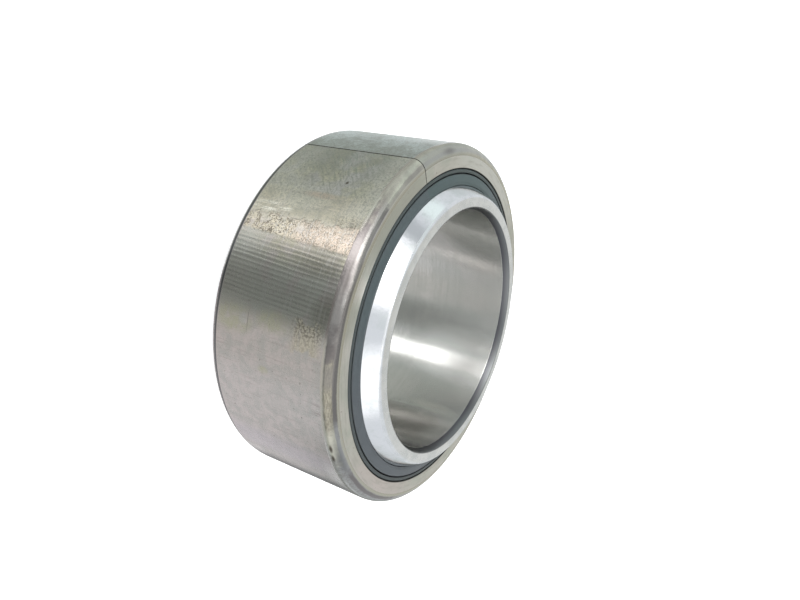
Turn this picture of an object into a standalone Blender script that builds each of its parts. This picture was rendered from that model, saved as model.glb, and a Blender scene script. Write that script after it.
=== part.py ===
"""Sealed spherical plain bearing with an outer ring that is split at one place.

Metres, +Z up along the bearing's axis. The origin is the centre of the ball, so the
inner ring turns and tilts about it. The inner ring is the longer of the two rings, and
the bearing stands on its lower face.
"""
import math

import bmesh
import bpy

# Rings, from the bore outwards
BORE_DIAMETER = 0.0700
INNER_FACE_WIDTH = 0.003933
LINER_THICKNESS = 0.0005
OUTER_WALL = 0.0054
INNER_WIDTH = 0.0490
OUTER_WIDTH = 0.0400

# Edges of the two rings
CORNER_RADIUS = 0.0032
BORE_LEAD_RISE = 0.0008
BORE_LEAD_LENGTH = 0.0021
EDGE_BREAK = 0.0004
SPLIT_WIDTH = 0.0003
SPLIT_DIRECTION = math.radians(90)

# Pocket for a seal in each end of the outer ring
POCKET_DEPTH = 0.0034
SHOULDER_THICKNESS = 0.0011
UNDERCUT = 0.0013

# Seal: a rim held in the pocket, a fold, and a band that ends in two lips on the ball
SEAL_WIDTH = 0.0044
RIM_WIDTH = 0.0010
RIM_RECESS = 0.00012
FOLD_WIDTH = 0.00035
FOLD_DEPTH = 0.0016
LIP_RISE = 0.0004
LIP_LAND = 0.0005
LIP_SPACING = 0.0019
LIP_GROOVE_DEPTH = 0.0008

# Clearances
RUNNING_GAP = 0.0003
SEAT_GAP = 0.0003

# Faces round the axis, and along each curve of a profile
SEGMENTS = 72
BALL_STEPS = 12
SEAT_STEPS = 8
CORNER_STEPS = 4

# Radii and heights that follow from the sizes above
INNER_TOP = INNER_WIDTH / 2
OUTER_TOP = OUTER_WIDTH / 2
BORE_RADIUS = BORE_DIAMETER / 2
BALL_EDGE_RADIUS = BORE_RADIUS + INNER_FACE_WIDTH
BALL_RADIUS = math.hypot(BALL_EDGE_RADIUS, INNER_TOP)
LINER_RADIUS = BALL_RADIUS + RUNNING_GAP
LINER_BACK_RADIUS = LINER_RADIUS + LINER_THICKNESS
SEAT_RADIUS = LINER_BACK_RADIUS + SEAT_GAP
OUTER_RADIUS = SEAT_RADIUS + OUTER_WALL
POCKET_FLOOR = OUTER_TOP - POCKET_DEPTH
SHOULDER_UNDERSIDE = OUTER_TOP - SHOULDER_THICKNESS
LIP_TOP = OUTER_TOP + LIP_RISE


def radius_on_sphere(sphere_radius, height):
    """Distance from the axis of a point on a sphere about the origin."""
    return math.sqrt(sphere_radius ** 2 - height ** 2)


LIP_RADIUS = radius_on_sphere(LINER_RADIUS, LIP_TOP)
MOUTH_RADIUS = LIP_RADIUS + SEAL_WIDTH
UNDERCUT_RADIUS = MOUTH_RADIUS + UNDERCUT


def sphere_arc(sphere_radius, low, high, steps):
    """Points (radius, height) of an arc about the origin, from height low to high."""
    first = math.asin(low / sphere_radius)
    last = math.asin(high / sphere_radius)
    points = []
    for step in range(steps + 1):
        angle = first + (last - first) * step / steps
        points.append((sphere_radius * math.cos(angle), sphere_radius * math.sin(angle)))
    return points


def mirrored(points):
    """The same points on the other side of the middle plane, in the opposite order."""
    return [(radius, -height) for radius, height in reversed(points)]


def outer_ring_profile():
    """Rounded corners outside, a seal pocket at each end, a spherical seat inside."""
    face_width = OUTER_RADIUS - MOUTH_RADIUS
    corner = min(CORNER_RADIUS, 0.8 * face_width)
    upper = []
    for step in range(CORNER_STEPS + 1):
        angle = math.pi / 2 * step / CORNER_STEPS
        radius = OUTER_RADIUS - corner + corner * math.cos(angle)
        height = OUTER_TOP - corner + corner * math.sin(angle)
        upper.append((radius, height))
    upper.append((MOUTH_RADIUS, OUTER_TOP))
    upper.append((MOUTH_RADIUS, SHOULDER_UNDERSIDE))
    upper.append((UNDERCUT_RADIUS, SHOULDER_UNDERSIDE))
    upper.append((UNDERCUT_RADIUS, POCKET_FLOOR))
    seat = sphere_arc(SEAT_RADIUS, -POCKET_FLOOR, POCKET_FLOOR, SEAT_STEPS)
    return upper + list(reversed(seat)) + mirrored(upper)


def liner_profile():
    """Thin layer of even thickness that lines the seat between the two pockets."""
    half = POCKET_FLOOR - SEAT_GAP
    front = sphere_arc(LINER_RADIUS, -half, half, SEAT_STEPS)
    back = sphere_arc(LINER_BACK_RADIUS, -half, half, SEAT_STEPS)
    return front + list(reversed(back))


def inner_ring_profile():
    """Ball outside with flat ends, and a bore with a steep lead-in at each end."""
    ball_end = INNER_TOP - EDGE_BREAK
    upper = [
        (BALL_EDGE_RADIUS - EDGE_BREAK, INNER_TOP),
        (BORE_RADIUS + BORE_LEAD_RISE + EDGE_BREAK / 2, INNER_TOP),
        (BORE_RADIUS + BORE_LEAD_RISE, INNER_TOP - EDGE_BREAK / 2),
        (BORE_RADIUS, INNER_TOP - BORE_LEAD_LENGTH),
    ]
    ball = sphere_arc(BALL_RADIUS, -ball_end, ball_end, BALL_STEPS)
    return ball + upper + mirrored(upper)


def seal_profile():
    """Section of the upper seal, from its heel round the rim and fold to the lips."""
    rim_top = OUTER_TOP - RIM_RECESS
    rim_outside = MOUTH_RADIUS - SEAT_GAP
    rim_inside = rim_outside - RIM_WIDTH
    band_outside = rim_inside - FOLD_WIDTH
    heel = POCKET_FLOOR + SEAT_GAP
    low_lip = LIP_TOP - LIP_SPACING
    groove = LIP_TOP - LIP_SPACING / 2
    groove_sphere = LINER_RADIUS + LIP_GROOVE_DEPTH
    return [
        (UNDERCUT_RADIUS - SEAT_GAP, heel),
        (UNDERCUT_RADIUS - SEAT_GAP, SHOULDER_UNDERSIDE - SEAT_GAP),
        (rim_outside, SHOULDER_UNDERSIDE - SEAT_GAP),
        (rim_outside, rim_top),
        (rim_inside, rim_top),
        (rim_inside - FOLD_WIDTH / 2, rim_top - FOLD_DEPTH),
        (band_outside, rim_top),
        (LIP_RADIUS + LIP_LAND, LIP_TOP),
        (LIP_RADIUS, LIP_TOP),
        (radius_on_sphere(groove_sphere, groove), groove),
        (radius_on_sphere(LINER_RADIUS, low_lip), low_lip),
        (radius_on_sphere(groove_sphere, heel), heel),
    ]


def turned(name, profile, gap_angle=0.0):
    """Mesh of a profile swept about Z, with an open slit where gap_angle is not zero."""
    bm = bmesh.new()
    start = SPLIT_DIRECTION + gap_angle / 2
    verts = [
        bm.verts.new((radius * math.cos(start), radius * math.sin(start), height))
        for radius, height in profile
    ]
    edges = [
        bm.edges.new((verts[index - 1], verts[index]))
        for index in range(len(verts))
    ]
    bmesh.ops.spin(
        bm,
        geom=verts + edges,
        cent=(0, 0, 0),
        axis=(0, 0, 1),
        angle=2 * math.pi - gap_angle,
        steps=SEGMENTS,
        use_merge=gap_angle == 0.0,
    )
    if gap_angle > 0.0:
        bmesh.ops.holes_fill(bm, edges=bm.edges, sides=0)
    bmesh.ops.recalc_face_normals(bm, faces=bm.faces)
    mesh = bpy.data.meshes.new(name)
    bm.to_mesh(mesh)
    bm.free()
    mesh.shade_smooth()
    mesh.set_sharp_from_angle(angle=math.radians(20))
    return mesh


def material(name, colour, metallic, roughness):
    """Principled material of one colour."""
    made = bpy.data.materials.new(name)
    made.use_nodes = True
    shader = made.node_tree.nodes["Principled BSDF"]
    shader.inputs["Base Color"].default_value = (*colour, 1.0)
    shader.inputs["Metallic"].default_value = metallic
    shader.inputs["Roughness"].default_value = roughness
    return made


def place(name, mesh, finish, flipped=False):
    """Object at the centre of the ball, turned end for end where flipped is set."""
    made = bpy.data.objects.new(name, mesh)
    if not mesh.materials:
        mesh.materials.append(finish)
    if flipped:
        made.rotation_euler = (math.pi, 0, 0)
    bpy.context.scene.collection.objects.link(made)
    return made


def build():
    """Clear the scene and make the five pieces of the bearing."""
    for old in list(bpy.data.objects):
        bpy.data.objects.remove(old, do_unlink=True)

    ring_steel = material("ring_steel", (0.40, 0.38, 0.35), 1.0, 0.38)
    chromed_steel = material("chromed_steel", (0.72, 0.75, 0.76), 1.0, 0.14)
    liner_fabric = material("liner_fabric", (0.45, 0.38, 0.26), 0.0, 0.70)
    seal_rubber = material("seal_rubber", (0.09, 0.12, 0.13), 0.0, 0.50)

    split_angle = SPLIT_WIDTH / OUTER_RADIUS
    place("outer_ring", turned("outer_ring", outer_ring_profile(), split_angle), ring_steel)
    place("sliding_liner", turned("sliding_liner", liner_profile(), split_angle), liner_fabric)
    place("inner_ring", turned("inner_ring", inner_ring_profile()), chromed_steel)
    seal_mesh = turned("seal", seal_profile())
    place("upper_seal", seal_mesh, seal_rubber)
    place("lower_seal", seal_mesh, seal_rubber, flipped=True)


build()
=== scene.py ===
import math

import bpy
from mathutils import Matrix, Vector


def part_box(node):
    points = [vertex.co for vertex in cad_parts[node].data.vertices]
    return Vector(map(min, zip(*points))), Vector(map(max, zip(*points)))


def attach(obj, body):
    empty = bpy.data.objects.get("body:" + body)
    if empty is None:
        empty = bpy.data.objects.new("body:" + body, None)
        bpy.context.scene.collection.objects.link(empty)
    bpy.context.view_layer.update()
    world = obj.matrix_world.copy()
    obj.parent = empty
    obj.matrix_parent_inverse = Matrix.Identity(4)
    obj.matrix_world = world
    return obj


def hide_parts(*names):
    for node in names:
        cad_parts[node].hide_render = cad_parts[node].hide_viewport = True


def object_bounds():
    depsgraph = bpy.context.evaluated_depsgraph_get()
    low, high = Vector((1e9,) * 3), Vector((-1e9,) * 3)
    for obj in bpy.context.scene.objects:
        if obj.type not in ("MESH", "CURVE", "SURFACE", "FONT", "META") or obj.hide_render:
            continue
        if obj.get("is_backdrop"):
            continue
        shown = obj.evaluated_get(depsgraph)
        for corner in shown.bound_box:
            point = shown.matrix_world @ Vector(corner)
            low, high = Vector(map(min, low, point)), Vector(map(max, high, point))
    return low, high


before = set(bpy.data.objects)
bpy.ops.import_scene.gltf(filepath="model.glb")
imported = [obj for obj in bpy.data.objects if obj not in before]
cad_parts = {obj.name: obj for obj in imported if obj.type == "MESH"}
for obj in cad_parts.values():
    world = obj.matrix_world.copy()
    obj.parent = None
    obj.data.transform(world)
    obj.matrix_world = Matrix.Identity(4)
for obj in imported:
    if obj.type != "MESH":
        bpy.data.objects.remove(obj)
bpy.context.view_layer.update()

# Sizes in metres. The outer ones come from the frame.
OUTER_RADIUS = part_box("outer_ring")[1][0]
OUTER_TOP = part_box("outer_ring")[1][2]
BALL_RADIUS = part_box("inner_ring")[1][0]
INNER_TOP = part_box("inner_ring")[1][2]
SEAL_FLANGE_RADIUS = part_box("upper_seal")[1][0]
SEAL_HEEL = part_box("upper_seal")[0][2]
LIP_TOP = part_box("upper_seal")[1][2]
BORE_RADIUS = 0.0350
CORNER_RADIUS = 0.0032
SPLIT_WIDTH = 0.0003
LINER_THICKNESS = 0.0005
SHOULDER_THICKNESS = 0.0011
RIM_WIDTH = 0.0010
RIM_RECESS = 0.00012
FOLD_WIDTH = 0.00035
FOLD_DEPTH = 0.0016
LIP_LAND = 0.0005
LIP_DROP = 0.00006
LIP_SPACING = 0.0019
LIP_GROOVE_DEPTH = 0.0008
SEAL_WIDTH = 0.0044
LEAD_RISE = 0.0008
LEAD_LENGTH = 0.0021
GAP = 0.0003
LIP_GAP = 0.0001
LIP_RADIUS = math.sqrt((BALL_RADIUS + GAP) ** 2 - LIP_TOP ** 2)
MOUTH_RADIUS = LIP_RADIUS + SEAL_WIDTH
UNDERCUT_RADIUS = SEAL_FLANGE_RADIUS + GAP
POCKET_FLOOR = SEAL_HEEL - GAP
SEAT_RADIUS = BALL_RADIUS + GAP + LINER_THICKNESS + GAP
SHOULDER_UNDERSIDE = OUTER_TOP - SHOULDER_THICKNESS

# Radii of the small rounded edges
MOUTH_EDGE = 0.00012
BALL_EDGE = 0.0012
FACE_EDGE = 0.0003
BORE_EDGE = 0.0004
SEAL_EDGE = 0.0002
RIM_EDGE = 0.0003
LIP_EDGE = 0.0004
HEEL_EDGE = 0.0001

# Half the width of the dark line along the split, as an angle, and the depth of its groove
SPLIT_DIRT = 0.0028
SPLIT_DEPTH = 0.00035

# Fineness of the turned pieces, and the angle from which an edge of theirs stays sharp
SEGMENTS = 288
FILLET_STEPS = 6
ARC_STEPS = 40
CORNER_STEPS = 12
SHARP_ANGLE = math.radians(28)

# Materials work in millimetres, this many to a metre
MM = 1000

# Grinding chatter round the outside and its slant from the axis, noise that makes fine lines
# round the bore, and threads round the liner
CHATTER_COUNT = 282
CHATTER_SLANT = 0.05
BORE_LINE_SCALE = (40, 40, 2400)
WEAVE_COUNT = 420

# Height of the fine relief on each surface
CHATTER_HEIGHT = 0.000009
CORNER_RELIEF = 0.00003
FACE_RELIEF = 0.000006
TURNED_RELIEF = 0.00001
BROKEN_RELIEF = 0.00005
CHROME_RELIEF = 0.000012
SATIN_RELIEF = 0.00002
BORE_RELIEF = 0.000003
RUBBER_RELIEF = 0.00001
WEAVE_RELIEF = 0.00005

# Colours of the ground outside, clean and with what lies on it, and the painted highlight and painted
# shade laid over it
# Painted highlight: near-white colour laid where the outside and the corner catch the light, near 100
# mm along and on the split's far side
PAINTED_HIGHLIGHT = (0.950, 0.935, 0.925)
SKIN_CLEAN = (0.600, 0.560, 0.545)
SKIN_GREY = (0.500, 0.495, 0.475)
SKIN_STREAK = (0.360, 0.325, 0.315)
SKIN_LAVENDER = (0.560, 0.530, 0.580)
FILM_VIOLET = (0.590, 0.580, 0.565)
FILM_OLIVE = (0.610, 0.595, 0.475)
FILM_MINT = (0.440, 0.575, 0.505)
FILM_PALE = (0.640, 0.595, 0.480)
FILM_COOL = (0.660, 0.720, 0.710)
FILM_BRIGHT = (0.740, 0.730, 0.650)
# Painted shade: darker film colour laid where the lamp's highlight falls, 24.5 to 29 mm along
FILM_PAINTED_SHADE = (0.360, 0.340, 0.270)
FILM_DARK = (0.300, 0.310, 0.270)
# The band under the chatter: olive stain, with painted shade that is darkest beside the corner
SHADE_OLIVE = (0.370, 0.355, 0.275)
SHADE_GREEN = (0.445, 0.460, 0.415)
SHADE_ROSE = (0.455, 0.415, 0.400)
SHADE_PALE = (0.500, 0.500, 0.450)
PAINTED_SHADE_DARK = (0.180, 0.175, 0.140)
CHATTER_DARK = (0.200, 0.200, 0.185)
FROST_PINK = (0.540, 0.458, 0.382)
FROST_PALE = (0.600, 0.550, 0.440)
FROST_STREAK = (0.300, 0.265, 0.215)
SCRATCH = (0.840, 0.820, 0.730)
# Painted glints: bright specks near the corner, 20.5 to 23.5 mm along
PAINTED_GLINT = (0.850, 0.820, 0.700)
MOSS = (0.500, 0.500, 0.390)
RUST_LIGHT = (0.620, 0.585, 0.480)
RUST_DARK = (0.230, 0.210, 0.165)
MARK_COPPER = (0.550, 0.440, 0.360)
MARK_COOL = (0.520, 0.540, 0.560)
MARK_DARK = (0.240, 0.240, 0.230)
SPECK = (0.120, 0.105, 0.085)

# Colours of the corners
CORNER_SKIN = (0.580, 0.550, 0.500)
CORNER_MAUVE = (0.215, 0.197, 0.192)
CORNER_MURK = (0.165, 0.152, 0.145)
CORNER_WORN = (0.500, 0.480, 0.455)
CORNER_DIM = (0.280, 0.266, 0.250)
CORNER_OLIVE = (0.225, 0.210, 0.168)
CORNER_GOLD = (0.325, 0.305, 0.245)
CORNER_LATE = (0.380, 0.380, 0.372)
CORNER_BROWN = (0.195, 0.184, 0.174)
CORNER_PLAIN = (0.570, 0.555, 0.470)
CORNER_CLOUD = (0.470, 0.455, 0.385)
# Slate: a stain colour, and a painted dark line along the lower corner
CORNER_SLATE = (0.130, 0.135, 0.140)
CORNER_FAR = (0.385, 0.395, 0.350)

# Colours of the outer ring's end, pocket and split
FACE_PALE = (0.620, 0.600, 0.550)
FACE_GREEN = (0.540, 0.550, 0.490)
FACE_ROSE = (0.680, 0.580, 0.570)
FACE_DULL = (0.455, 0.460, 0.400)
FACE_FAR = (0.700, 0.700, 0.660)
FACE_STREAK = (0.420, 0.410, 0.360)
FACE_SPECK = (0.300, 0.260, 0.220)
# Pocket: painted dark as the shade behind the seals
POCKET_DARK = (0.260, 0.250, 0.230)
POCKET_LIGHT = (0.340, 0.330, 0.310)
BROKEN_DARK = (0.020, 0.020, 0.018)
BROKEN_LIGHT = (0.045, 0.042, 0.038)

# Colours of the inner ring: its chrome, its satin end, the lead-in and the bore
CHROME_CLEAN = (0.800, 0.810, 0.830)
CHROME_SMUDGED = (0.700, 0.730, 0.730)
SATIN_CLEAN = (0.800, 0.810, 0.820)
SATIN_CLOUDED = (0.690, 0.710, 0.720)
LEAD_DARK = (0.090, 0.094, 0.100)
LEAD_LIGHT = (0.200, 0.210, 0.210)
LEAD_LINE = (0.130, 0.120, 0.135)
BORE_PALE = (0.720, 0.715, 0.695)
BORE_GREY = (0.640, 0.650, 0.625)
BORE_LINE = (0.400, 0.400, 0.380)
BORE_GRAIN = (0.360, 0.370, 0.350)
# Painted shade on one side of the bore
BORE_PAINTED_SHADE = (0.380, 0.360, 0.340)
BORE_WARM = (0.940, 0.920, 0.860)
# Painted highlight: the lamp's white band along the bore
BORE_PAINTED_HIGHLIGHT = (0.980, 0.980, 0.960)
BORE_SCRATCH = (0.900, 0.920, 0.900)

# Colours of the seals and of the liner
RUBBER_DARK = (0.040, 0.049, 0.056)
RUBBER_LIGHT = (0.062, 0.072, 0.080)
RUBBER_GREEN = (0.034, 0.057, 0.057)
RUBBER_RIM = (0.024, 0.032, 0.031)
# Painted shade in the seal's fold
RUBBER_FOLD_SHADE = (0.014, 0.017, 0.017)
THREAD_DARK = (0.340, 0.280, 0.190)
THREAD_LIGHT = (0.520, 0.450, 0.320)

# Light all round, and the soft panels in it, each laid over the ones before. A panel has a
# compass angle, half its width and the softness of its sides in degrees, then the lowest and
# highest height that it reaches on a sky of radius 1, the softness there, and its colour.
SURROUND = (0.62, 0.66, 0.66)
PANELS = {
    "table_right": (-110, 62, 28, -1.2, -0.50, 0.04, (0.88, 0.85, 0.86)),
    "table_left": (178, 14, 12, -1.2, -0.50, 0.04, (0.70, 0.67, 0.65)),
    "table_back": (48, 34, 16, -1.2, -0.50, 0.04, (0.50, 0.53, 0.48)),
    "table_side": (-18, 13, 12, -1.2, -0.45, 0.04, (1.20, 1.26, 1.28)),
    "table_edge": (-61, 18, 4, -1.2, -0.45, 0.04, (0.08, 0.08, 0.10)),
    "shade_low": (142, 18, 9, -1.2, -0.50, 0.04, (0.26, 0.27, 0.26)),
    "lamp_low": (103, 5, 6, -1.2, -0.50, 0.04, (0.75, 0.73, 0.70)),
    "wall_right": (-95, 40, 10, -0.47, -0.28, 0.02, (0.21, 0.215, 0.20)),
    "wall_back": (45, 40, 20, -0.50, -0.30, 0.06, (0.49, 0.51, 0.48)),
    "wall_left": (178, 14, 8, -0.50, -0.25, 0.06, (0.68, 0.68, 0.66)),
    "shade_middle": (146, 8, 12, -0.50, -0.20, 0.06, (0.31, 0.32, 0.30)),
    "room_above": (0, 180, 1, -0.05, 1.2, 0.15, (0.80, 0.83, 0.86)),
    "ceiling_gap": (70, 3, 8, 0.05, 1.2, 0.10, (0.55, 0.58, 0.60)),
    "ceiling_back": (45, 4, 8, 0.05, 1.2, 0.10, (0.95, 1.06, 1.04)),
    "warm_wall": (-38, 14, 16, 0.05, 1.2, 0.10, (0.65, 0.65, 0.61)),
    "window_right": (-167, 20, 14, 0.0, 1.2, 0.12, (1.45, 1.46, 1.48)),
    "window_front": (108, 25, 8, 0.0, 1.2, 0.12, (1.60, 1.60, 1.60)),
    "warm_low": (-48, 24, 15, 0.05, 0.46, 0.08, (0.76, 0.77, 0.74)),
    "lamp_glow": (107, 11, 9, -0.50, 0.1, 0.05, (1.10, 1.09, 1.05)),
    "lamp": (107.5, 8, 2, -0.50, 1.2, 0.05, (4.40, 4.40, 4.40)),
}

# The floor: its radius, the bend at its rim, how far the backdrop rises, and their fineness.
# It glows a little, to be as white as the photograph's ground.
FLOOR_RADIUS = 2.0
FLOOR_BEND = 0.6
FLOOR_RISE = 3.0
FLOOR_STEPS = 12
FLOOR_SEGMENTS = 96
FLOOR_COLOUR = (0.75, 0.75, 0.75)
FLOOR_GLOW = (1.0, 1.0, 1.0)
FLOOR_GLOW_STRENGTH = 0.60

# The camera, in the object's frame, and the angle of the photograph
CAMERA_DISTANCE = 0.2065
CAMERA_AZIMUTH = math.radians(137.45)
CAMERA_ELEVATION = math.radians(30.53)
CAMERA_AIM = Vector((0.00432, 0.00252, 0.00282))
CAMERA_ROLL = math.radians(104.57)
FOCAL_PIXELS = 677.0
IMAGE_WIDTH = 800
SENSOR_WIDTH = 36.0
NEAREST_SEEN = 0.01


def on_sphere(sphere_radius, height):
    """Distance from the axis of a point on a sphere about the origin."""
    return math.sqrt(sphere_radius ** 2 - height ** 2)


def arc(sphere_radius, low, high, zone):
    """Profile corners along a sphere about the origin, from height low to high."""
    first, last = math.asin(low / sphere_radius), math.asin(high / sphere_radius)
    corners = []
    for step in range(ARC_STEPS + 1):
        angle = first + (last - first) * step / ARC_STEPS
        corners.append((sphere_radius * math.cos(angle), sphere_radius * math.sin(angle), 0, zone))
    return corners


def rounded(corners):
    """Points (radius, height, zone) of a closed profile whose corners are filleted.

    A corner is (radius, height, fillet, zone), and its zone belongs to the edge after it.
    """
    points = []
    for index, (radius, height, fillet, zone) in enumerate(corners):
        here = Vector((radius, height))
        if fillet == 0:
            points.append((radius, height, zone))
            continue
        before = (Vector(corners[index - 1][:2]) - here).normalized()
        after = (Vector(corners[(index + 1) % len(corners)][:2]) - here).normalized()
        half = before.angle(after) / 2
        reach = fillet / math.tan(half)
        centre = here + (before + after).normalized() * fillet / math.sin(half)
        start = here + before * reach - centre
        turn = start.angle_signed(here + after * reach - centre)
        for step in range(FILLET_STEPS + 1):
            spoke = start.copy()
            spoke.rotate(Matrix.Rotation(-turn * step / FILLET_STEPS, 2))
            points.append((centre.x + spoke.x, centre.y + spoke.y, zone))
    return points


def mirrored(corners):
    """The corners below the middle plane that match those above, in the opposite order."""
    result = []
    for index in range(len(corners) - 1, -1, -1):
        radius, height, fillet, _ = corners[index]
        zone = corners[index - 1][3] if index > 0 else corners[0][3]
        result.append((radius, -height, fillet, zone))
    return result


def inset(profile, depth):
    """Points (radius, height) of the profile moved into its metal by a depth."""
    result = []
    for index, (radius, height, _) in enumerate(profile):
        before = profile[index - 1]
        after = profile[(index + 1) % len(profile)]
        along = Vector((after[0] - before[0], after[1] - before[1])).normalized()
        result.append((radius - along.y * depth, height + along.x * depth))
    return result


def turned(name, corners, materials, split=0.0, flip=1):
    """Object made by sweeping a profile about Z, with a groove at +Y where split is set.

    The groove stands for a fracture line: its sides have the last of the materials.
    """
    profile = rounded(corners)
    count = len(profile)
    steps = SEGMENTS + 1 if split else SEGMENTS
    sweep = 2 * math.pi - split
    verts = []
    for step in range(steps):
        angle = math.pi / 2 + split / 2 + sweep * step / SEGMENTS
        for radius, height, _ in profile:
            verts.append((radius * math.cos(angle), radius * math.sin(angle), flip * height))
    faces = []
    zones = []
    for step in range(SEGMENTS):
        this, after = step * count, (step + 1) % steps * count
        for index in range(count):
            ahead = (index + 1) % count
            face = (this + index, after + index, after + ahead, this + ahead)
            faces.append(face if flip > 0 else face[::-1])
            zones.append(profile[index][2])
    if split:
        for angle in (math.pi / 2 + split / 2, math.pi / 2 - split / 2):
            for radius, height in inset(profile, SPLIT_DEPTH):
                verts.append((radius * math.cos(angle), radius * math.sin(angle), height))
        rows = (0, steps * count, (steps + 1) * count, (steps - 1) * count)
        for index in range(count):
            ahead = (index + 1) % count
            for this, after in zip(rows, rows[1:]):
                faces.append((this + index, this + ahead, after + ahead, after + index))
        zones += [len(materials) - 1] * 3 * count
    mesh = bpy.data.meshes.new(name)
    mesh.from_pydata(verts, [], faces)
    for material in materials:
        mesh.materials.append(material)
    mesh.polygons.foreach_set("material_index", zones)
    mesh.update()
    mesh.shade_smooth()
    mesh.set_sharp_from_angle(angle=SHARP_ANGLE)
    piece = bpy.data.objects.new(name, mesh)
    bpy.context.scene.collection.objects.link(piece)
    return piece


class Nodes:
    """Short calls for building a material's node tree."""

    def __init__(self, name, metallic=0.0):
        self.material = bpy.data.materials.new(name)
        self.material.use_nodes = True
        self.tree = self.material.node_tree
        self.shader = self.tree.nodes["Principled BSDF"]
        self.set("Metallic", metallic)

    def plug(self, value, socket):
        """Give any socket a constant, or link it to another node's output."""
        if isinstance(value, bpy.types.NodeSocket):
            self.tree.links.new(value, socket)
        elif isinstance(value, tuple) and socket.type == "RGBA":
            socket.default_value = (*value, 1.0)
        else:
            socket.default_value = value

    def set(self, name, value):
        """Plug a value into one of the shader's sockets."""
        self.plug(value, self.shader.inputs[name])

    def math(self, operation, first, second=0.0, third=0.0):
        """One number worked out from up to three."""
        node = self.tree.nodes.new("ShaderNodeMath")
        node.operation = operation
        for value, socket in zip((first, second, third), node.inputs):
            self.plug(value, socket)
        return node.outputs[0]

    def times(self, first, *others):
        """Product of several numbers."""
        for other in others:
            first = self.math("MULTIPLY", first, other)
        return first

    def larger(self, first, second):
        """The larger of two numbers."""
        return self.math("MAXIMUM", first, second)

    def vector(self, x, y, z):
        """Three numbers as a vector."""
        node = self.tree.nodes.new("ShaderNodeCombineXYZ")
        for value, socket in zip((x, y, z), node.inputs):
            self.plug(value, socket)
        return node.outputs[0]

    def point(self, scale=(MM, MM, MM)):
        """The point in the piece's own space, times a factor for each axis: plainly in mm."""
        coordinates = self.tree.nodes.new("ShaderNodeTexCoord")
        node = self.tree.nodes.new("ShaderNodeVectorMath")
        node.operation = "MULTIPLY"
        self.tree.links.new(coordinates.outputs["Object"], node.inputs[0])
        node.inputs[1].default_value = scale
        return node.outputs[0]

    def round(self):
        """(angle, radius, height) in radians and mm: the angle is 0 at -Y and jumps only at +Y."""
        split = self.tree.nodes.new("ShaderNodeSeparateXYZ")
        self.tree.links.new(self.point(), split.inputs[0])
        x, y, height = split.outputs
        angle = self.math("ARCTAN2", x, self.math("MULTIPLY", y, -1.0))
        squares = self.math("MULTIPLY_ADD", x, x, self.math("MULTIPLY", y, y))
        return angle, self.math("SQRT", squares), height

    def unrolled(self):
        """(point, along, across) on the unrolled outside, in mm from the split and mid plane."""
        angle, _, height = self.round()
        along = self.math("MULTIPLY", self.math("ADD", angle, math.pi), OUTER_RADIUS * MM)
        return self.vector(along, height, 0.0), along, height

    def noise(self, vector, scale, detail=2.0, roughness=0.5):
        """Noise from 0 to 1."""
        node = self.tree.nodes.new("ShaderNodeTexNoise")
        self.plug(vector, node.inputs["Vector"])
        node.inputs["Scale"].default_value = scale
        node.inputs["Detail"].default_value = detail
        node.inputs["Roughness"].default_value = roughness
        return node.outputs[0]

    def streaks(self, first, second, fineness, detail, roughness=0.5):
        """Noise in two numbers, with its fineness along each of them."""
        stretched = self.vector(self.times(first, fineness[0]), self.times(second, fineness[1]), 0.0)
        return self.noise(stretched, 1.0, detail, roughness)

    def wandering(self, value, noise, amount):
        """A value that a noise pushes to and fro, so that edges drawn from it turn ragged."""
        return self.math("MULTIPLY_ADD", self.math("SUBTRACT", noise, 0.5), amount, value)

    def ramp(self, value, low, high, to_low=0.0, to_high=1.0):
        """Smooth step of a value between low and high."""
        node = self.tree.nodes.new("ShaderNodeMapRange")
        node.interpolation_type = "SMOOTHSTEP"
        for socket, number in zip(node.inputs, (value, low, high, to_low, to_high)):
            self.plug(number, socket)
        return node.outputs[0]

    def window(self, value, low, high, soft):
        """1 between low and high, with sides that fall to 0 over twice the softness."""
        rise = self.ramp(value, low - soft, low + soft)
        fall = self.ramp(value, high - soft, high + soft, 1.0, 0.0)
        return self.math("MULTIPLY", rise, fall)

    def patch(self, first, second, centre, size, soft=0.6):
        """1 inside an ellipse in two numbers, falling to 0 round its rim."""
        side = self.math("DIVIDE", self.math("SUBTRACT", first, centre[0]), size[0])
        end = self.math("DIVIDE", self.math("SUBTRACT", second, centre[1]), size[1])
        squares = self.math("MULTIPLY_ADD", side, side, self.math("MULTIPLY", end, end))
        return self.ramp(self.math("SQRT", squares), 1 + soft, 1 - soft)

    def mix(self, share, first, second):
        """Colour between two others."""
        node = self.tree.nodes.new("ShaderNodeMix")
        node.data_type = "RGBA"
        self.plug(share, node.inputs[0])
        self.plug(first, node.inputs[6])
        self.plug(second, node.inputs[7])
        return node.outputs[2]

    def coated(self, colour, *coats):
        """A colour with coats over it, each a share and a colour, from the lowest to the top one."""
        for share, coat in coats:
            colour = self.mix(share, colour, coat)
        return colour

    def bump(self, height, distance):
        """Bump of a height map, linked to the shader."""
        node = self.tree.nodes.new("ShaderNodeBump")
        node.inputs["Distance"].default_value = distance
        self.plug(height, node.inputs["Height"])
        self.set("Normal", node.outputs[0])

    def grain_along_axis(self, amount):
        """Stretch highlights along Z, across the fine lines that grinding leaves round a ring."""
        tangent = self.tree.nodes.new("ShaderNodeTangent")
        tangent.direction_type = "RADIAL"
        tangent.axis = "Z"
        self.set("Tangent", tangent.outputs[0])
        self.set("Anisotropic", amount)
        self.set("Anisotropic Rotation", 0.25)


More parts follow.
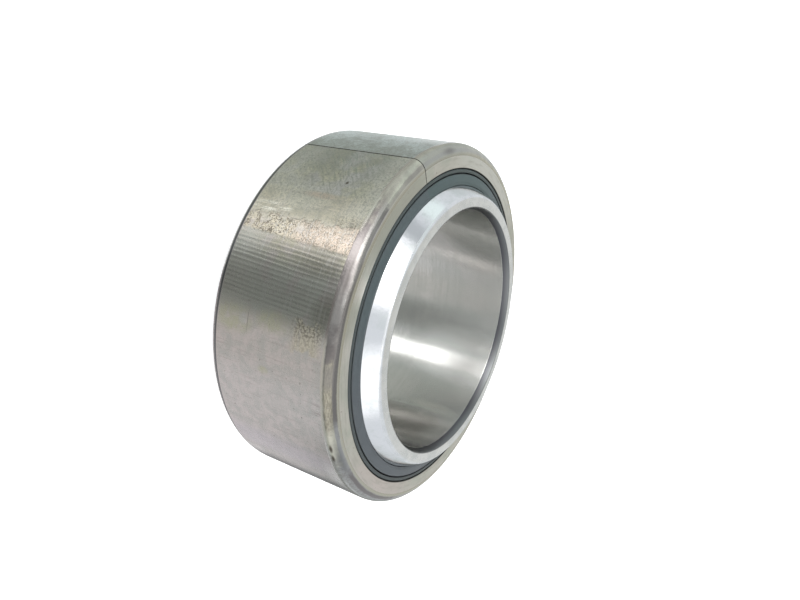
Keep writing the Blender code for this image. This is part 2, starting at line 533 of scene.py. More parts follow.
def film_colour(n, spot, along, across, wide, middle):
    """Colour of the oil film on both sides of the split, wiped and dirty in places, with painted
    shade where the lamp's highlight falls on it.
    """
    aside = n.math("SUBTRACT", n.times(across, 0.92), n.times(along, 0.77))
    ahead = n.times(n.math("ADD", across, along), 0.10)
    wipes = n.noise(n.vector(aside, ahead, 0.0), 1.2, 5.0, 0.7)
    pale_edge = n.wandering(along, middle, 1.6)
    near_split = n.larger(n.ramp(along, 16, 6), n.ramp(along, 322, 329))
    dirt = n.math("MULTIPLY_ADD", middle, 0.5, n.times(wide, 0.5))
    dirt = n.math("MULTIPLY_ADD", near_split, 0.10, dirt)
    return n.coated(
        n.mix(n.ramp(n.noise(spot, 0.13, 3.0), 0.42, 0.60), FILM_VIOLET, FILM_OLIVE),
        (n.times(n.ramp(wipes, 0.48, 0.66), n.ramp(along, 17, 4), 0.75), FILM_MINT),
        (n.times(n.ramp(pale_edge, 17.8, 18.8), 0.8), FILM_PALE),
        (n.ramp(along, 240, 300), FILM_COOL),
        (n.ramp(dirt, 0.46, 0.66, 0.0, 0.62), FILM_DARK),
        (n.times(n.ramp(wipes, 0.50, 0.62), n.ramp(along, 24, 16), 0.58), FILM_DARK),
        (n.times(n.ramp(across, -3, -13), n.window(along, 1, 20, 2.0), 0.40), FILM_BRIGHT),
        (n.times(n.ramp(across, 8, 16), n.ramp(along, 26, 22), 0.60), FILM_BRIGHT),
        (n.times(n.patch(along, across, (20.0, -4.0), (4.0, 7.0)), 0.45), FILM_BRIGHT),
        # Painted shade over the lamp's highlight
        (n.times(n.window(along, 24.5, 29, 1.5), 0.45), FILM_PAINTED_SHADE),
    )


def shade_colour(n, spot, along, across):
    """Colour of the band under the chatter: an olive stain with painted shade over it, darkest beside
    the corner, and lighter toward the lower end.
    """
    # Painted shade, darkest beside the corner
    painted_shade_by_corner = n.times(
        n.ramp(across, -2, 11),
        n.ramp(along, 42, 37, 0.05, 0.75),
        n.ramp(across, 15.2, 17.0, 1.0, 0.2),
    )
    painted_shade_end = n.times(n.patch(along, across, (48.5, 16.0), (4.5, 4.0)), 0.6)
    return n.coated(
        n.mix(n.ramp(along, 35, 42), SHADE_OLIVE, SHADE_GREEN),
        (n.ramp(n.noise(spot, 0.16, 3.0), 0.48, 0.64, 0.0, 0.7), SHADE_ROSE),
        (n.ramp(across, -2, -15), SHADE_PALE),
        (n.larger(painted_shade_by_corner, painted_shade_end), PAINTED_SHADE_DARK),
    )


def chatter_waves(n, spot, along, across, slanted):
    """Waves of grinding chatter, from -1 to 1, and how strong they are at each place."""
    uneven = n.streaks(slanted, across, (0.8, 0.05), 3.0)
    waves_per_mm = CHATTER_COUNT / (OUTER_RADIUS * MM)
    phase = n.math("MULTIPLY_ADD", slanted, waves_per_mm, n.times(uneven, 5.0))
    seen = n.times(n.window(slanted, 33.5, 49.5, 1.5), n.ramp(uneven, 0.30, 0.60, 0.5, 1.0))
    hidden = n.times(n.ramp(n.noise(spot, 0.03, 1.0), 0.52, 0.66), n.ramp(along, 130, 150), 0.6)
    return n.math("SINE", phase), n.larger(seen, hidden)


def frosted(n, colour, spot, along, across, slanted, middle, fine):
    """A colour with the frosted band over it, pitted and specked, and the band's share."""
    ragged = n.wandering(along, middle, 6.0)
    straight = n.wandering(slanted, fine, 1.5)
    broken = n.ramp(n.noise(spot, 0.22, 2.0), 0.36, 0.46, 0.35, 1.0)
    frost = n.times(
        n.ramp(ragged, 26.3, 27.3),
        n.ramp(straight, 33.0, 32.0),
        n.larger(broken, n.ramp(across, 0, 8)),
    )
    frost_colour = n.mix(n.ramp(across, -6, 4), FROST_PALE, FROST_PINK)
    clusters = n.math("MULTIPLY_ADD", n.noise(spot, 0.45, 2.0), 0.55, n.noise(spot, 2.5, 2.0, 0.6))
    cluster_start = n.ramp(across, -8, 4, 0.765, 0.80)
    specks = n.ramp(n.math("SUBTRACT", clusters, cluster_start), 0.0, 0.06)
    speck_share = n.ramp(across, 6, -8, 0.60, 0.90)
    near = n.larger(frost, n.times(n.window(along, 23.5, 27, 1.0), n.ramp(across, 6, 12)))
    scratched = n.times(n.window(along, 23.6, 26.2, 0.8), n.window(across, -17, -5, 2.0))
    scratches = n.ramp(n.streaks(along, across, (3.2, 0.12), 1.0), 0.51, 0.58)
    streaks = n.ramp(n.streaks(along, across, (0.35, 2.2), 3.0, 0.6), 0.54, 0.66)
    # Painted glints near the corner
    painted_glints = n.times(n.window(along, 20.5, 23.5, 1.0), n.window(across, 7, 16, 2.0))
    colour = n.coated(
        colour,
        (n.times(frost, n.ramp(fine, 0.38, 0.50)), frost_colour),
        (n.times(near, specks, speck_share), SPECK),
        (n.times(scratched, scratches), SCRATCH),
        (n.times(frost, streaks, 0.35), FROST_STREAK),
        (n.times(painted_glints, n.ramp(fine, 0.56, 0.64), 0.6), PAINTED_GLINT),
    )
    return colour, frost


def stained(n, colour, spot, along, across, middle):
    """A colour with a green stain, rust and single marks over it."""
    moss = n.patch(along, across, (54.5, -11.5), (3.6, 6.0), 0.4)
    for centre, size in (((53.0, 1.0), (2.6, 5.0)), ((65.6, -1.0), (1.0, 1.5))):
        moss = n.larger(moss, n.patch(along, across, centre, size, 0.5))
    rust_edge = n.wandering(along, middle, 9.0)
    rust = n.times(n.window(rust_edge, 51.0, 58, 0.8), n.window(across, 7.5, 15.5, 2.0), 0.85)
    flecks = n.ramp(n.noise(spot, 1.5, 3.0, 0.6), 0.46, 0.55)
    rust_colour = n.mix(n.times(flecks, n.ramp(rust_edge, 57, 52, 0.4, 1.0)), RUST_LIGHT, RUST_DARK)
    return n.coated(
        colour,
        (n.times(moss, n.ramp(middle, 0.35, 0.60, 0.3, 0.9)), MOSS),
        (rust, rust_colour),
        (n.patch(along, across, (13.9, 5.9), (0.5, 0.4)), SPECK),
        (n.times(n.patch(along, across, (19.2, 1.0), (0.9, 4.5)), 0.55), MARK_COPPER),
        (n.times(n.patch(along, across, (54.2, -8.3), (1.5, 1.2), 0.5), 0.4), MARK_COOL),
        (n.times(n.patch(along, across, (54.4, -6.8), (2.6, 0.12)), 0.7), MARK_DARK),
    )


def ring_skin():
    """Ground outside of the outer ring: oil film, stains, specks and grinding chatter, with painted
    highlights and painted shade.

    Places here and in what it calls are in mm, along the outside from the split and across
    it from the mid plane.
    """
    n = Nodes("ring_skin", metallic=1.0)
    n.grain_along_axis(0.75)
    spot, along, across = n.unrolled()
    wide = n.noise(spot, 0.07, 3.0)
    middle = n.noise(spot, 0.35, 5.0, 0.65)
    fine = n.noise(spot, 1.3, 4.0, 0.7)
    tooth = n.noise(spot, 2.4, 3.0, 0.7)
    axial = n.streaks(along, across, (1.6, 0.09), 4.0)
    ring_lines = n.streaks(along, across, (0.12, 1.3), 3.0)
    slanted = n.math("MULTIPLY_ADD", across, -CHATTER_SLANT, along)
    chatter, chatter_place = chatter_waves(n, spot, along, across, slanted)

    # Painted highlight on the outside, near 100 mm along from the split
    highlight_edge = n.times(n.ramp(across, 11, 17), n.window(along, 91, 112, 5.0))
    highlight_end = n.times(n.ramp(across, 5, 11), n.window(along, 105, 113, 1.5))
    highlight_low = n.times(n.ramp(across, -9, -13), n.window(along, 98, 104, 1.5), 0.6)
    film = n.larger(n.ramp(along, 31, 25), n.ramp(along, 296, 312))
    hidden_film = n.times(n.ramp(wide, 0.50, 0.66), n.ramp(along, 110, 140), 0.6)
    # The band under the chatter, an olive stain with painted shade over it
    shade = n.times(n.window(along, 31.5, 53, 2.0), n.ramp(fine, 0.2, 0.8, 1.0, 0.75))
    colour = n.coated(
        n.mix(n.ramp(middle, 0.36, 0.64), SKIN_CLEAN, SKIN_GREY),
        (n.times(n.window(along, 87, 96, 3.0), 0.6), SKIN_LAVENDER),
        (n.larger(highlight_edge, n.larger(highlight_end, highlight_low)), PAINTED_HIGHLIGHT),
        (n.larger(film, hidden_film), film_colour(n, spot, along, across, wide, middle)),
        (shade, shade_colour(n, spot, along, across)),
        (n.times(n.ramp(chatter, -0.4, 1.0), chatter_place, 0.40), CHATTER_DARK),
    )
    colour, frost = frosted(n, colour, spot, along, across, slanted, middle, fine)
    colour = stained(n, colour, spot, along, across, middle)

    scuff = n.patch(along, across, (71.2, 15.8), (1.5, 2.0), 0.4)
    specks = n.ramp(n.noise(spot, 1.15, 2.0, 0.6), 0.67, 0.73)
    speck_place = n.ramp(n.noise(spot, 0.13, 2.0), 0.42, 0.60, 0.2, 1.0)
    round_length = 2 * math.pi * OUTER_RADIUS * MM
    from_split = n.math("MINIMUM", along, n.math("SUBTRACT", round_length, along))
    dirt_width = SPLIT_DIRT * OUTER_RADIUS * MM
    colour = n.coated(
        colour,
        (n.times(scuff, n.ramp(axial, 0.45, 0.55), 0.6), SKIN_STREAK),
        (n.ramp(ring_lines, 0.50, 0.70, 0.0, 0.40), SKIN_GREY),
        (n.times(n.ramp(axial, 0.50, 0.72), 0.28), SKIN_STREAK),
        (n.ramp(fine, 0.50, 0.68, 0.0, 0.12), SKIN_STREAK),
        (n.times(n.ramp(fine, 0.48, 0.62), film, 0.46), FILM_DARK),
        (n.times(n.ramp(tooth, 0.48, 0.62), n.larger(film, 0.3), 0.40), FILM_DARK),
        # Painted highlight on the split's far side, where the outside catches the light at a grazing
        # angle
        (n.times(n.window(along, 300, 316, 5.0), n.ramp(across, 2, 14), 0.6), PAINTED_HIGHLIGHT),
        (n.times(specks, speck_place, 0.8), SPECK),
        (n.ramp(from_split, dirt_width * 2, dirt_width, 0.0, 0.9), SPECK),
    )
    n.set("Base Color", colour)

    rough = n.math("MULTIPLY_ADD", film, 0.10, 0.23)
    rough = n.math("MULTIPLY_ADD", middle, 0.08, rough)
    n.set("Roughness", n.math("MULTIPLY_ADD", frost, 0.05, rough))
    relief = n.math("MULTIPLY_ADD", axial, 0.6, n.times(chatter, chatter_place, 0.8))
    n.bump(n.math("ADD", relief, n.times(frost, fine, 7.0)), CHATTER_HEIGHT)
    return n.material


def ring_corner():
    """Rounded corner of the outer ring: dark skin of heat treatment, lighter in places where it
    wears, with painted highlights, painted shade and a painted dark edge.

    The lean is the angle round the corner, from 0 at the outside to a right angle at the face.
    """
    n = Nodes("ring_corner", metallic=1.0)
    _, along, across = n.unrolled()
    _, radius, height = n.round()
    spot = n.point()
    out = n.math("SUBTRACT", radius, (OUTER_RADIUS - CORNER_RADIUS) * MM)
    up = n.math("SUBTRACT", n.math("ABSOLUTE", height), (OUTER_TOP - CORNER_RADIUS) * MM)
    clean_lean = n.math("ARCTAN2", up, out)
    middle = n.noise(spot, 0.35, 4.0, 0.6)
    fine = n.noise(spot, 1.5, 4.0, 0.7)
    lean = n.wandering(clean_lean, middle, 0.18)
    wander = n.wandering(along, middle, 14.0)

    plain = n.mix(n.ramp(middle, 0.34, 0.66), CORNER_PLAIN, CORNER_CLOUD)
    upper = n.mix(n.ramp(lean, 0.56, 0.78), CORNER_MAUVE, CORNER_WORN)
    strands = n.streaks(along, clean_lean, (0.6, 9.0), 4.0, 0.7)
    olive = n.mix(n.ramp(strands, 0.42, 0.57), CORNER_OLIVE, CORNER_GOLD)
    olive = n.mix(n.times(n.ramp(fine, 0.57, 0.66), 0.7), olive, CORNER_BROWN)
    late = n.mix(n.ramp(fine, 0.40, 0.65), CORNER_LATE, CORNER_DIM)
    # Mauve skin, laid over 33 to 42 mm along also as painted shade that dims the lamp's highlight on
    # the corner
    mauve_and_painted_shade = n.mix(n.ramp(lean, 0.55, 0.80), CORNER_MURK, CORNER_MAUVE)
    colour = n.coated(
        plain,
        (n.ramp(wander, 14, 25), upper),
        (n.ramp(wander, 38, 47), CORNER_DIM),
        (n.ramp(wander, 48, 54), CORNER_MURK),
        (n.ramp(wander, 57, 61), olive),
        (n.times(n.window(along, 59, 65, 2.0), 0.65), CORNER_BROWN),
        (n.ramp(wander, 73, 79), plain),
        (n.ramp(wander, 82, 92), late),
        (n.ramp(wander, 120, 140), plain),
        (n.times(n.window(along, 2, 8, 2.0), n.ramp(lean, 0.40, 0.55), 0.35), CORNER_DIM),
        # Painted shade dimming the corner's highlight, in the mauve skin's colour
        (n.times(n.window(along, 33, 42, 2.0), n.ramp(lean, 0.40, 0.60), 0.8), mauve_and_painted_shade),
        (n.times(n.ramp(along, 296, 312), n.ramp(lean, 0.35, 0.55), 0.7), CORNER_FAR),
        # Painted highlight on the outer side of the corner, near 100 mm along
        (n.times(n.ramp(lean, 0.62, 0.30), n.window(along, 96, 112, 4.0), 0.6), PAINTED_HIGHLIGHT),
    )

    worn_through = n.window(wander, 26, 38, 2.0)
    outside = n.times(n.ramp(lean, 0.30, 0.12), n.math("SUBTRACT", 1.0, worn_through))
    # Painted highlight on the corner's outer rim, near 100 mm along and on the split's far side
    highlight_place = n.larger(n.window(along, 80, 112, 4.0), n.window(along, 302, 318, 4.0))
    skin = n.coated(
        n.mix(highlight_place, CORNER_SKIN, PAINTED_HIGHLIGHT),
        (n.window(along, 16, 23, 2.0), FILM_BRIGHT),
        # Painted shade: the band under the chatter, carried onto the corner's outer rim
        (n.window(along, 34, 53, 2.0), SKIN_STREAK),
    )
    trough = n.window(lean, 0.92, 1.25, 0.05)
    trough_share = n.larger(n.window(wander, 17, 125, 4.0), 0.40)
    trough_colour = n.coated(
        n.mix(n.window(wander, 76, 330, 4.0), CORNER_BROWN, CORNER_LATE),
        (n.window(wander, 22, 40, 3.0), CORNER_DIM),
        (n.window(wander, 92, 125, 5.0), CORNER_MAUVE),
    )
    rim_share = n.ramp(along, 250, 290, 1.0, 0.3)
    blue_stain = n.patch(along, clean_lean, (87.0, 0.88), (5.5, 0.26), 0.9)
    brown_stain = n.patch(along, clean_lean, (316.0, 1.02), (2.6, 0.24), 0.9)
    # Painted shade: the lower corner is clean skin with a slate line along it, a painted dark edge
    painted_dark_edge = n.mix(n.window(clean_lean, 0.07, 0.40, 0.05), SKIN_CLEAN, CORNER_SLATE)
    colour = n.coated(
        colour,
        (outside, skin),
        (n.times(trough, trough_share), trough_colour),
        (n.times(n.ramp(clean_lean, 1.26, 1.36), rim_share), CORNER_CLOUD),
        (n.patch(along, across, (82.5, 18.0), (1.1, 0.35)), SPECK),
        (n.patch(along, across, (86.0, 17.9), (1.1, 0.35)), SPECK),
        (n.times(blue_stain, 0.6), CORNER_SLATE),
        (n.times(brown_stain, 0.7), CORNER_BROWN),
        (n.ramp(height, 2, -2), painted_dark_edge),
    )
    n.set("Base Color", colour)
    n.set("Roughness", n.math("MULTIPLY_ADD", middle, 0.08, 0.20))
    n.bump(n.noise(spot, 0.9, 3.0), CORNER_RELIEF)
    return n.material


def ring_face():
    """Ground end of the outer ring, with soft streaks round it."""
    n = Nodes("ring_face", metallic=1.0)
    _, along, _ = n.unrolled()
    angle, radius, _ = n.round()
    spot = n.point()
    streaks = n.streaks(angle, radius, (9.0, 1.1), 3.0)
    dull = n.larger(n.window(along, 1, 31, 4.0), n.window(along, 43, 53, 3.0))
    specks = n.ramp(n.noise(spot, 1.1, 3.0, 0.6), 0.62, 0.72)
    colour = n.coated(
        n.mix(n.ramp(n.noise(spot, 0.14, 4.0, 0.6), 0.36, 0.64), FACE_PALE, FACE_GREEN),
        (n.times(n.window(along, 92, 130, 8.0), 0.5), FACE_ROSE),
        (n.times(dull, 0.85), FACE_DULL),
        (n.times(n.window(along, 262, 308, 10.0), 0.8), FACE_FAR),
        (n.ramp(streaks, 0.45, 0.75, 0.0, 0.45), FACE_STREAK),
        (n.times(specks, 0.5), FACE_SPECK),
    )
    n.set("Base Color", colour)
    n.set("Roughness", n.math("MULTIPLY_ADD", streaks, 0.12, 0.30))
    n.bump(n.streaks(radius, angle, (4.2, 1.5), 2.0), FACE_RELIEF)
    return n.material


def ring_pocket():
    """Turned pocket and seat behind the seals, painted dark as their shade."""
    n = Nodes("ring_pocket", metallic=1.0)
    _, radius, height = n.round()
    lines = n.streaks(radius, height, (3.0, 3.0), 2.0)
    n.set("Base Color", n.mix(lines, POCKET_DARK, POCKET_LIGHT))
    n.set("Roughness", 0.45)
    n.bump(lines, TURNED_RELIEF)
    return n.material


def split_wall():
    """Dark broken surface inside the split."""
    n = Nodes("split_wall")
    grain = n.noise(n.point(), 2.0, 4.0)
    n.set("Base Color", n.mix(grain, BROKEN_DARK, BROKEN_LIGHT))
    n.set("Roughness", 0.8)
    n.bump(grain, BROKEN_RELIEF)
    return n.material


def ball_chrome():
    """Polished chrome of the ball, with faint smudges."""
    n = Nodes("ball_chrome", metallic=1.0)
    spot = n.point()
    smudge = n.ramp(n.noise(spot, 0.22, 5.0, 0.65), 0.42, 0.70)
    n.set("Base Color", n.mix(smudge, CHROME_CLEAN, CHROME_SMUDGED))
    n.set("Roughness", n.math("MULTIPLY_ADD", smudge, 0.12, 0.10))
    n.bump(n.noise(spot, 1.2, 3.0), CHROME_RELIEF)
    return n.material


def inner_face():
    """Satin end of the inner ring."""
    n = Nodes("inner_face", metallic=1.0)
    spot = n.point()
    cloud = n.ramp(n.noise(spot, 0.3, 5.0, 0.6), 0.38, 0.66)
    n.set("Base Color", n.mix(cloud, SATIN_CLEAN, SATIN_CLOUDED))
    n.set("Roughness", n.math("MULTIPLY_ADD", cloud, 0.10, 0.22))
    n.bump(n.noise(spot, 1.0, 4.0), SATIN_RELIEF)
    return n.material


def bore_lead():
    """Turned lead-in at each end of the bore, darker than the ground bore."""
    n = Nodes("bore_lead", metallic=1.0)
    _, radius, height = n.round()
    lines = n.streaks(radius, height, (5.0, 2.5), 3.0)
    outward = n.ramp(radius, BORE_RADIUS * MM, (BORE_RADIUS + LEAD_RISE) * MM)
    colour = n.mix(outward, LEAD_DARK, LEAD_LIGHT)
    n.set("Base Color", n.mix(n.ramp(lines, 0.4, 0.7, 0.0, 0.5), colour, LEAD_LINE))
    n.set("Roughness", 0.32)
    n.bump(lines, TURNED_RELIEF)
    return n.material


def bore_ground():
    """Ground bore with fine lines round it, a few streaks, a painted highlight band and painted
    shade.
    """
    n = Nodes("bore_ground", metallic=1.0)
    n.grain_along_axis(1.0)
    angle, _, height = n.round()
    lines = n.noise(n.point(BORE_LINE_SCALE), 1.0, 3.0)
    cloud = n.ramp(n.noise(n.point(), 0.08, 4.0, 0.6), 0.36, 0.66)
    grain = n.noise(n.point(), 1.1, 4.0, 0.7)
    slant = n.math("MULTIPLY_ADD", height, -0.0032, angle)
    scratch = n.patch(slant, height, (-0.063, 10.0), (0.003, 13.0), 0.4)
    # Painted highlight: a white band along the bore where the lamp is reflected, smoother there too
    highlight_strip = n.times(n.window(angle, 0.36, 0.85, 0.07), n.ramp(height, -8, 8))
    colour = n.coated(
        n.mix(cloud, BORE_PALE, BORE_GREY),
        (n.ramp(lines, 0.35, 0.75, 0.0, 0.15), BORE_LINE),
        (n.ramp(grain, 0.50, 0.72, 0.0, 0.22), BORE_GRAIN),
        # Painted shade on one side of the bore, stronger below 14 mm height
        (n.times(n.window(angle, -0.58, -0.10, 0.08), n.ramp(height, 21, 14, 0.30, 0.85)), BORE_PAINTED_SHADE),
        (n.times(n.patch(angle, height, (0.00, 13.0), (0.05, 7.0), 0.7), 0.7), BORE_WARM),
        (highlight_strip, BORE_PAINTED_HIGHLIGHT),
        (n.times(scratch, 0.8), BORE_SCRATCH),
    )
    n.set("Base Color", colour)
    rough = n.math("MULTIPLY_ADD", cloud, 0.03, 0.24)
    n.set("Roughness", n.math("MULTIPLY_ADD", highlight_strip, -0.04, rough))
    n.bump(lines, BORE_RELIEF)
    return n.material


def rubber():
    """Blue-grey seal, greener on the split's side, darker on its rim, and with painted shade in its
    fold.
    """
    n = Nodes("seal_rubber")
    angle, radius, _ = n.round()
    cloud = n.noise(n.point(), 0.18, 4.0, 0.6)
    greener = n.times(n.ramp(n.math("ABSOLUTE", angle), 1.7, 2.5), n.ramp(angle, -1.0, 1.0, 0.5, 0.9))
    rim = (MOUTH_RADIUS - GAP - RIM_WIDTH) * MM
    # Painted shade in the fold
    fold = n.window(radius, rim - FOLD_WIDTH * MM - 0.10, rim + 0.10, 0.12)
    colour = n.coated(
        n.mix(cloud, RUBBER_DARK, RUBBER_LIGHT),
        (greener, RUBBER_GREEN),
        (n.ramp(radius, rim - 0.1, rim + 0.2, 0.0, 0.75), RUBBER_RIM),
        (n.times(fold, 0.8), RUBBER_FOLD_SHADE),
    )
    n.set("Base Color", colour)
    n.set("Roughness", n.math("MULTIPLY_ADD", cloud, 0.12, 0.40))
    n.bump(n.noise(n.point(), 4.0, 2.0), RUBBER_RELIEF)
    return n.material


def fabric():
    """Woven liner: two sets of threads that pass over and under each other."""
    n = Nodes("liner_fabric")
    angle, _, height = n.round()
    warp = n.math("SINE", n.times(angle, WEAVE_COUNT))
    weft = n.math("SINE", n.times(height, WEAVE_COUNT / (BALL_RADIUS * MM)))
    weave = n.times(warp, weft)
    n.set("Base Color", n.mix(n.ramp(weave, -0.6, 0.6), THREAD_DARK, THREAD_LIGHT))
    n.set("Roughness", 0.8)
    n.bump(weave, WEAVE_RELIEF)
    return n.material


def outer_ring():
    """The split outer ring, with rounded corners, seal pockets and a spherical seat."""
    skin, corner, face, hidden = 0, 1, 2, 3
    upper = [(OUTER_RADIUS, OUTER_TOP - CORNER_RADIUS, 0, corner)]
    for step in range(1, CORNER_STEPS):
        lean = math.pi / 2 * step / CORNER_STEPS
        radius = OUTER_RADIUS - CORNER_RADIUS * (1 - math.cos(lean))
        height = OUTER_TOP - CORNER_RADIUS * (1 - math.sin(lean))
        upper.append((radius, height, 0, corner))
    upper += [
        (OUTER_RADIUS - CORNER_RADIUS, OUTER_TOP, 0, face),
        (MOUTH_RADIUS, OUTER_TOP, MOUTH_EDGE, hidden),
        (MOUTH_RADIUS, SHOULDER_UNDERSIDE, 0, hidden),
        (UNDERCUT_RADIUS, SHOULDER_UNDERSIDE, 0, hidden),
        (UNDERCUT_RADIUS, POCKET_FLOOR, 0, hidden),
    ]
    seat = arc(SEAT_RADIUS, POCKET_FLOOR, -POCKET_FLOOR, hidden)
    lower = mirrored(upper)
    lower[-1] = (*lower[-1][:3], skin)
    materials = [ring_skin(), ring_corner(), ring_face(), ring_pocket(), split_wall()]
    split = SPLIT_WIDTH / OUTER_RADIUS
    return turned("outer_ring_fine", upper + seat + lower, materials, split)


def inner_ring():
    """The chromed ball ring, with flat ends and a bore with a lead-in at each end."""
    ball, face, lead, bore = 0, 1, 2, 3
    edge_radius = on_sphere(BALL_RADIUS, INNER_TOP)
    lead_radius = BORE_RADIUS + LEAD_RISE
    corners = arc(BALL_RADIUS, -INNER_TOP, INNER_TOP, ball)[1:-1]
    corners += [
        (edge_radius, INNER_TOP, BALL_EDGE, face),
        (lead_radius, INNER_TOP, FACE_EDGE, lead),
        (BORE_RADIUS, INNER_TOP - LEAD_LENGTH, BORE_EDGE, bore),
        (BORE_RADIUS, LEAD_LENGTH - INNER_TOP, BORE_EDGE, lead),
        (lead_radius, -INNER_TOP, FACE_EDGE, face),
        (edge_radius, -INNER_TOP, BALL_EDGE, ball),
    ]
    materials = [ball_chrome(), inner_face(), bore_lead(), bore_ground()]
    return turned("inner_ring_fine", corners, materials)


def seal(name, material, flip):
    """One lip seal: flange and rim in the pocket, a fold, a band and two lips."""
    rim_top = OUTER_TOP - RIM_RECESS
    rim_outside = MOUTH_RADIUS - GAP
    rim_inside = rim_outside - RIM_WIDTH
    flange_top = SHOULDER_UNDERSIDE - GAP
    high_lip = LIP_TOP - LIP_DROP
    groove = LIP_TOP - LIP_SPACING / 2
    low_lip = LIP_TOP - LIP_SPACING
    lip_sphere = BALL_RADIUS + LIP_GAP
    groove_sphere = lip_sphere + LIP_GROOVE_DEPTH
    corners = [
        (SEAL_FLANGE_RADIUS, SEAL_HEEL, SEAL_EDGE, 0),
        (SEAL_FLANGE_RADIUS, flange_top, SEAL_EDGE, 0),
        (rim_outside, flange_top, 0, 0),
        (rim_outside, rim_top, RIM_EDGE, 0),
        (rim_inside, rim_top, SEAL_EDGE, 0),
        (rim_inside - FOLD_WIDTH / 2, rim_top - FOLD_DEPTH, 0, 0),
        (rim_inside - FOLD_WIDTH, rim_top, SEAL_EDGE, 0),
        (LIP_RADIUS + LIP_LAND, LIP_TOP, LIP_EDGE, 0),
        (on_sphere(lip_sphere, high_lip), high_lip, 0, 0),
        (on_sphere(groove_sphere, groove), groove, SEAL_EDGE, 0),
        (on_sphere(lip_sphere, low_lip), low_lip, 0, 0),
        (on_sphere(groove_sphere, SEAL_HEEL), SEAL_HEEL, HEEL_EDGE, 0),
    ]
    return turned(name, corners, [material], flip=flip)


def dress(piece, body, node):
    """A fine piece takes the place of a CAD node on its body."""
    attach(piece, body)
    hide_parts(node)


def camera():
    """The photograph's viewpoint."""
    data = bpy.data.cameras.new("camera")
    data.sensor_width = SENSOR_WIDTH
    data.lens = FOCAL_PIXELS * SENSOR_WIDTH / IMAGE_WIDTH
    data.clip_start = NEAREST_SEEN
    eye = bpy.data.objects.new("camera", data)
    bpy.context.scene.collection.objects.link(eye)
    flat = math.cos(CAMERA_ELEVATION)
    eye.location = CAMERA_DISTANCE * Vector((
        flat * math.cos(CAMERA_AZIMUTH),
        flat * math.sin(CAMERA_AZIMUTH),
        math.sin(CAMERA_ELEVATION),
    ))
    look = (CAMERA_AIM - eye.location).to_track_quat("-Z", "Y").to_matrix()
    eye.rotation_euler = (look @ Matrix.Rotation(CAMERA_ROLL, 3, "Z")).to_euler()
    bpy.context.scene.camera = eye
    bpy.context.view_layer.update()


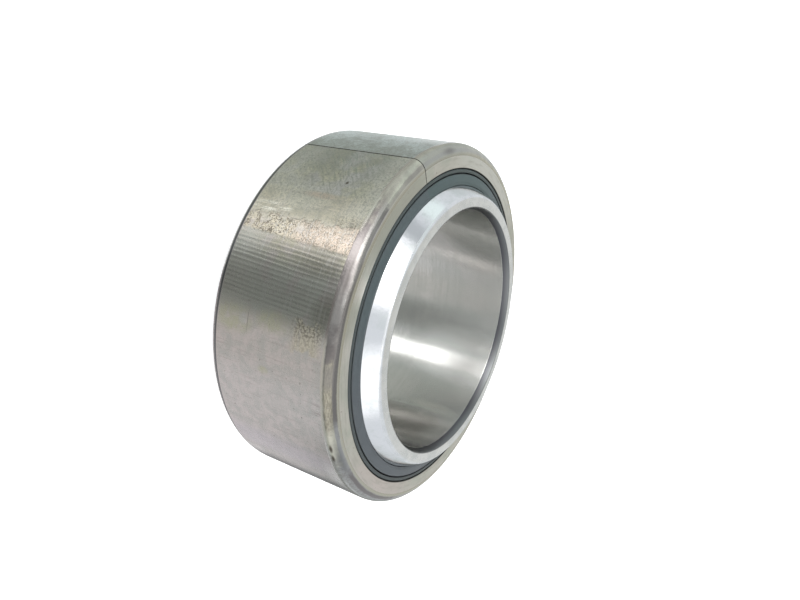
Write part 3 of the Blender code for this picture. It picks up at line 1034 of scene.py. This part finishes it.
def studio():
    """Soft light all round, with brighter and dimmer panels in it."""
    world = bpy.data.worlds.new("studio")
    bpy.context.scene.world = world
    world.use_nodes = True
    tree = world.node_tree
    direction = tree.nodes.new("ShaderNodeTexCoord").outputs["Generated"]
    split = tree.nodes.new("ShaderNodeSeparateXYZ")
    tree.links.new(direction, split.inputs[0])
    height = split.outputs[2]
    level = tree.nodes.new("ShaderNodeVectorMath")
    level.operation = "MULTIPLY"
    tree.links.new(direction, level.inputs[0])
    level.inputs[1].default_value = (1, 1, 0)
    compass = tree.nodes.new("ShaderNodeVectorMath")
    compass.operation = "NORMALIZE"
    tree.links.new(level.outputs[0], compass.inputs[0])

    def step(value, low, high):
        """Smooth step of a value from 0 at low to 1 at high."""
        node = tree.nodes.new("ShaderNodeMapRange")
        node.interpolation_type = "SMOOTHSTEP"
        tree.links.new(value, node.inputs[0])
        node.inputs[1].default_value = low
        node.inputs[2].default_value = high
        return node.outputs[0]

    def product(first, second):
        """Two numbers multiplied."""
        node = tree.nodes.new("ShaderNodeMath")
        node.operation = "MULTIPLY"
        tree.links.new(first, node.inputs[0])
        tree.links.new(second, node.inputs[1])
        return node.outputs[0]

    colour = None
    for angle, half_width, side_soft, low, high, end_soft, tint in PANELS.values():
        middle = math.radians(angle)
        across = tree.nodes.new("ShaderNodeVectorMath")
        across.operation = "DOT_PRODUCT"
        tree.links.new(compass.outputs[0], across.inputs[0])
        across.inputs[1].default_value = (math.cos(middle), math.sin(middle), 0)
        outside = math.cos(math.radians(min(half_width + side_soft, 180)))
        inside = math.cos(math.radians(max(half_width - side_soft, 0)))
        share = step(across.outputs["Value"], outside, inside)
        share = product(share, step(height, low - end_soft, low + end_soft))
        share = product(share, step(height, high + end_soft, high - end_soft))
        mix = tree.nodes.new("ShaderNodeMix")
        mix.data_type = "RGBA"
        tree.links.new(share, mix.inputs[0])
        if colour:
            tree.links.new(colour, mix.inputs[6])
        else:
            mix.inputs[6].default_value = (*SURROUND, 1.0)
        mix.inputs[7].default_value = (*tint, 1.0)
        colour = mix.outputs[2]
    tree.links.new(colour, tree.nodes["Background"].inputs["Color"])


def stage():
    """Pale floor that curves up into a backdrop all round."""
    floor_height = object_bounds()[0][2]
    flat = FLOOR_RADIUS - FLOOR_BEND
    profile = [(flat, floor_height)]
    for step in range(1, FLOOR_STEPS + 1):
        angle = math.pi / 2 * step / FLOOR_STEPS
        height = floor_height + FLOOR_BEND - FLOOR_BEND * math.cos(angle)
        profile.append((flat + FLOOR_BEND * math.sin(angle), height))
    profile.append((FLOOR_RADIUS, floor_height + FLOOR_RISE))
    verts = []
    for index in range(FLOOR_SEGMENTS):
        angle = 2 * math.pi * index / FLOOR_SEGMENTS
        for radius, height in profile:
            verts.append((radius * math.cos(angle), radius * math.sin(angle), height))
    centre = len(verts)
    verts.append((0.0, 0.0, floor_height))
    count = len(profile)
    faces = []
    for index in range(FLOOR_SEGMENTS):
        this = index * count
        after = (index + 1) % FLOOR_SEGMENTS * count
        faces.append((centre, this, after))
        for step in range(count - 1):
            faces.append((this + step, this + step + 1, after + step + 1, after + step))
    mesh = bpy.data.meshes.new("floor")
    mesh.from_pydata(verts, [], faces)
    mesh.shade_smooth()
    n = Nodes("floor_pale")
    n.set("Base Color", FLOOR_COLOUR)
    n.set("Roughness", 1.0)
    n.set("Specular IOR Level", 0.0)
    n.set("Emission Color", FLOOR_GLOW)
    n.set("Emission Strength", FLOOR_GLOW_STRENGTH)
    mesh.materials.append(n.material)
    floor = bpy.data.objects.new("floor", mesh)
    bpy.context.scene.collection.objects.link(floor)
    floor.visible_glossy = False
    floor.visible_shadow = False
    floor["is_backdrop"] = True


seal_material = rubber()
dress(outer_ring(), "outer", "outer_ring")
dress(inner_ring(), "inner", "inner_ring")
dress(seal("upper_seal_fine", seal_material, 1), "seals", "upper_seal")
dress(seal("lower_seal_fine", seal_material, -1), "seals", "lower_seal")
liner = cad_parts["sliding_liner"]
liner.data.materials.clear()
liner.data.materials.append(fabric())

camera()
studio()
stage()
bpy.context.scene.view_settings.view_transform = "Standard"
